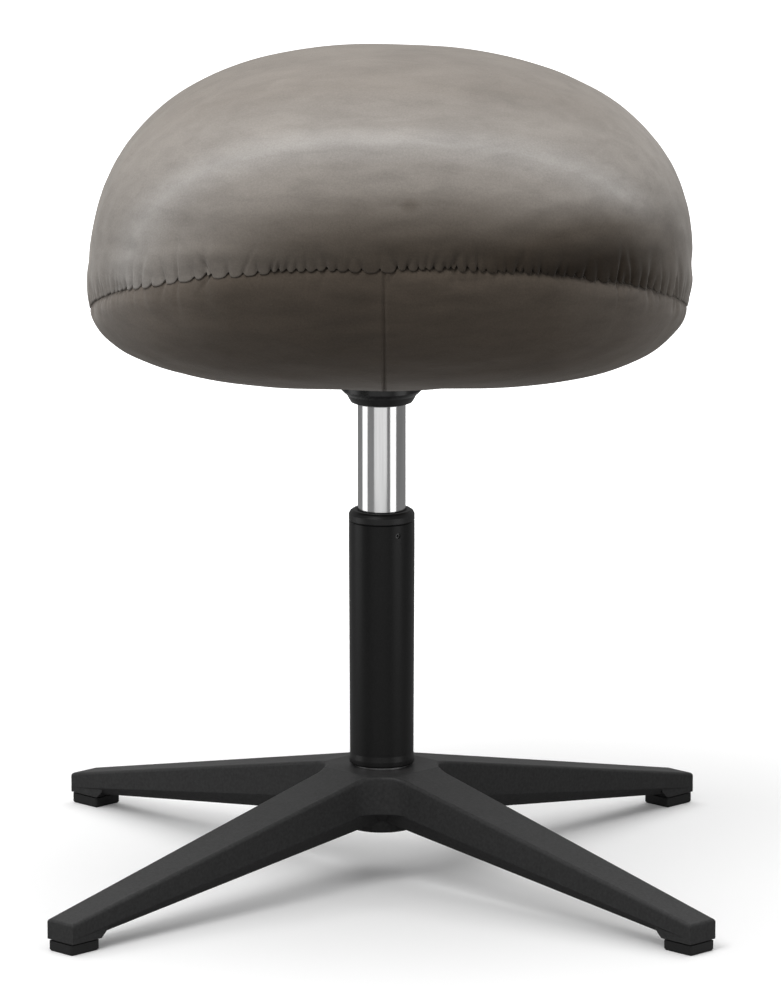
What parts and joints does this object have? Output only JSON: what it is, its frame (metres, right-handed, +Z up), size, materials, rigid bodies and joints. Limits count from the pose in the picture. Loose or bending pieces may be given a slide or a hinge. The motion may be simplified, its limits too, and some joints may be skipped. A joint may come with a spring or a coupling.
{
  "type": "adjustable swivel stool",
  "caption": "Swivel stool with a domed velvet seat on a sliding chromed column and a cast cross base with foot glides.",
  "frame": {"origin": "on the floor, on the column's axis, under the middle of the base", "axes": "+Z up along the column, -Y to the front of the seat, +X to the seat's right as seen from the front"},
  "size_m": [0.4732, 0.4732, 0.611],
  "materials": {
    "black_coat": "satin",
    "foot_plastic": "matte",
    "collar_plastic": "satin",
    "black_nylon": "satin",
    "chrome": "polished",
    "zinc_steel": "satin",
    "turned_steel": "satin",
    "dark_steel": "satin",
    "bearing_steel": "polished",
    "black_rubber": "matte",
    "plywood": "matte",
    "foam": "matte",
    "velvet": "matte"
  },
  "bodies": {
    "base": {"base_casting": "black_coat", "front_left_foot": "foot_plastic", "front_right_foot": "foot_plastic", "rear_left_foot": "foot_plastic", "rear_right_foot": "foot_plastic", "foot_screws": "zinc_steel", "base_bolt": "zinc_steel", "base_washer": "zinc_steel", "column_spigot": "turned_steel", "column_tube": "black_coat", "guide_bushing": "black_nylon", "bushing_screw": "dark_steel", "column_floor": "turned_steel", "lower_race": "turned_steel"},
    "ball_carrier": {"ball_cage": "black_nylon", "bearing_balls": "bearing_steel"},
    "spindle": {"piston_rod": "bearing_steel", "upper_race": "turned_steel", "rod_bumper": "black_rubber", "rod_clip": "dark_steel", "rod_washer": "zinc_steel", "piston": "turned_steel", "piston_seal": "black_rubber", "piston_nut": "zinc_steel"},
    "lift": {"gas_cylinder": "chrome", "cylinder_guide": "black_nylon", "rod_seal": "black_rubber", "valve_head": "turned_steel", "collar": "collar_plastic", "seat_mount": "black_coat", "lever_pin": "zinc_steel", "seat_screws": "zinc_steel", "tee_nuts": "zinc_steel", "seat_pan": "plywood", "foam_cushion": "foam", "foam_skirt": "foam", "upper_cover": "velvet", "lower_cover": "velvet"},
    "valve_pin": {"release_pin": "bearing_steel"},
    "lever": {"lever": "dark_steel", "lever_grip": "collar_plastic"}
  },
  "joints": [
    {"name": "seat_swivel", "type": "hinge", "parent": "base", "child": "spindle", "pos_m": [0, 0, 0.11], "axis": [0, 0, 1], "continuous": true},
    {"name": "ball_roll", "type": "hinge", "parent": "base", "child": "ball_carrier", "pos_m": [0, 0, 0.109], "axis": [0, 0, 1], "continuous": true},
    {"name": "seat_lift", "type": "slide", "parent": "spindle", "child": "lift", "axis": [0, 0, 1], "range_m": [-0.07, 0]},
    {"name": "lever_pull", "type": "hinge", "parent": "lift", "child": "lever", "pos_m": [0, 0.029, 0.3865], "axis": [1, 0, 0], "range_deg": [0, 5], "stiffness_Nm_per_rad": 2, "springref_deg": -2.86},
    {"name": "pin_press", "type": "slide", "parent": "lift", "child": "valve_pin", "axis": [0, 0, -1], "range_m": [0, 0.0026]}
  ],
  "couplings": [
    {"joint": "ball_roll", "follows": "seat_swivel", "ratio": 0.5},
    {"joint": "pin_press", "follows": "lever_pull", "m_per_rad": 0.029}
  ]
}
